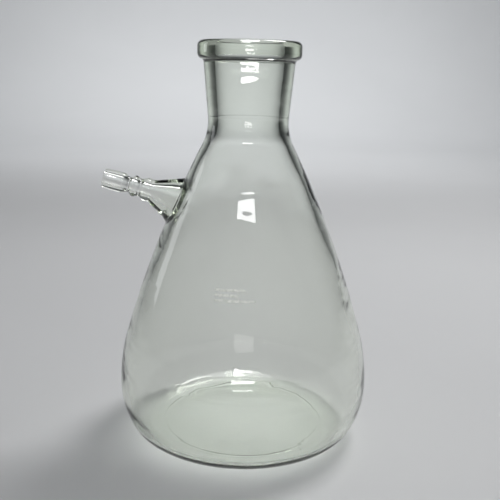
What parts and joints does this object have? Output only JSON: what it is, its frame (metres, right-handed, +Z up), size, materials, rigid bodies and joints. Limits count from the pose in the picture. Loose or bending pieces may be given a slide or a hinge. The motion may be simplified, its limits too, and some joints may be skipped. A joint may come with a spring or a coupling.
{
  "type": "filter flask",
  "caption": "Conical heavy-walled glass filter flask with a thick tapered neck, a beaded rim and a barbed side arm for vacuum hose.",
  "frame": {"origin": "centre of the resting ring, on the flask's axis in the plane the flask stands on", "axes": "+Z up the flask's axis to the mouth; -X towards the side arm; the capacity mark faces -Y"},
  "size_m": [0.1442, 0.135, 0.21],
  "materials": {
    "clear_glass": "clear, fire-polished, faint yellow-green tint",
    "white_enamel": "thin fired white enamel"
  },
  "bodies": {
    "root": {"flask_body": "clear_glass", "neck_socket": "clear_glass", "rim_bead": "clear_glass", "side_arm": "clear_glass", "side_arm_seal": "clear_glass", "capacity_mark": "white_enamel"}
  },
  "joints": []
}
